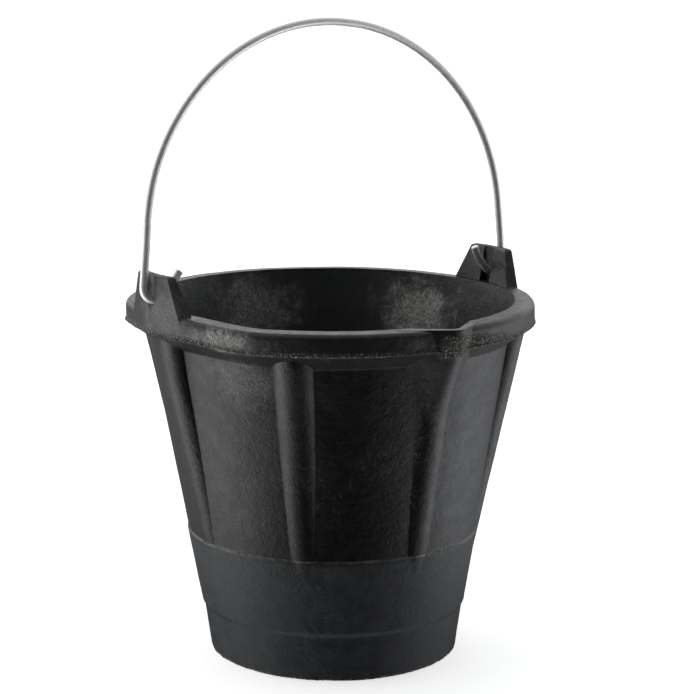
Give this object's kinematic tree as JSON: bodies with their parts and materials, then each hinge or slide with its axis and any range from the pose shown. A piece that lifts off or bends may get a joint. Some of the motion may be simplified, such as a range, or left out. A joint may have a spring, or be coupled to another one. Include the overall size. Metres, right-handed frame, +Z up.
{
  "type": "mason's rubber bucket",
  "caption": "Black moulded rubber bucket for mortar and concrete, with outer ribs, a rim flange, a pouring spout and a swinging steel wire bail hooked through rim ears.",
  "frame": {"origin": "middle of the flat underside, on the surface the bucket stands on", "axes": "+Z up along the bucket's axis; the bail hinge runs along X through the ears; the pouring spout points along -Y"},
  "size_m": [0.3382, 0.3285, 0.4973],
  "materials": {
    "moulded_rubber": "matt black moulded rubber, scuffed and dusty",
    "galvanised_wire": "dull galvanised steel wire"
  },
  "bodies": {
    "bucket": {"rubber_bucket": "moulded_rubber"},
    "bail": {"wire_bail": "galvanised_wire"}
  },
  "joints": [
    {"name": "bail_swing", "type": "hinge", "parent": "bucket", "child": "bail", "pos_m": [0, 0, 0.291], "axis": [1, 0, 0], "range_deg": [-120, 120]}
  ]
}
